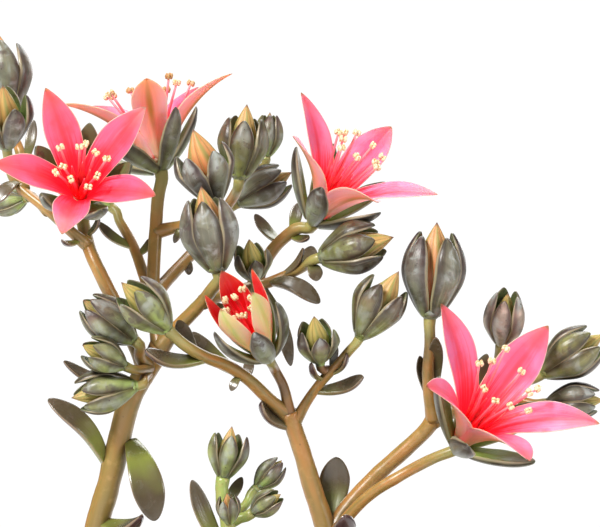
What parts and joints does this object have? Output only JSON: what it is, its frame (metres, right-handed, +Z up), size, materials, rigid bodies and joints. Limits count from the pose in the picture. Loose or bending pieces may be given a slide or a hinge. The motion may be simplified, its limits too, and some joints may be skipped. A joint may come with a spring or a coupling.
{
  "type": "potted graptopetalum",
  "caption": "Potted flowering succulent: rosettes in soil in a round pot, with branched stalks that carry starry pink blooms and fleshy grey-green buds.",
  "frame": {"origin": "middle of the pot's underside, on the surface that the pot stands on", "axes": "+Z up along the pot's axis, +Y away from the picture's viewer, +X to the viewer's right"},
  "size_m": [0.1306, 0.129, 0.2203],
  "materials": {
    "terracotta": "matte",
    "soil": "matte",
    "leaf": "matte",
    "stem": "satin",
    "sepal": "matte",
    "petal": "satin",
    "stamen": "satin",
    "folded_petal": "satin"
  },
  "bodies": {
    "root": {"bud_01": "sepal", "bud_01_petals": "folded_petal", "bud_02": "sepal", "bud_02_petals": "folded_petal", "bud_03": "sepal", "bud_04": "sepal", "bud_04_petals": "folded_petal", "bud_05": "sepal", "bud_05_petals": "folded_petal", "bud_06": "sepal", "bud_07": "sepal", "bud_08": "sepal", "bud_08_petals": "folded_petal", "bud_09": "sepal", "bud_10": "sepal", "bud_11": "sepal", "bud_12": "sepal", "bud_13": "sepal", "bud_14": "sepal", "bud_15": "sepal", "bud_15_petals": "folded_petal", "bud_16": "sepal", "bud_16_petals": "folded_petal", "bud_17": "sepal", "bud_17_petals": "folded_petal", "bud_18": "sepal", "bud_19": "sepal", "bud_19_petals": "folded_petal", "bud_20": "sepal", "bud_21": "sepal", "bud_22": "sepal", "bud_23": "sepal", "bud_24": "sepal", "bud_25": "sepal", "flower_1_calyx": "sepal", "flower_1_centre": "stamen", "flower_1_petals": "petal", "flower_2_calyx": "sepal", "flower_2_centre": "stamen", "flower_2_petals": "petal", "flower_3_calyx": "sepal", "flower_3_centre": "stamen", "flower_3_petals": "petal", "flower_4_calyx": "sepal", "flower_4_centre": "stamen", "flower_4_petals": "petal", "flower_5_calyx": "sepal", "flower_5_centre": "stamen", "flower_5_petals": "petal", "pot": "terracotta", "rosette_back": "leaf", "rosette_front": "leaf", "rosette_left": "leaf", "rosette_right": "leaf", "rosette_side": "leaf", "soil": "soil", "stalk_left": "stem", "stalk_right": "stem", "stalk_young": "stem"}
  },
  "joints": []
}
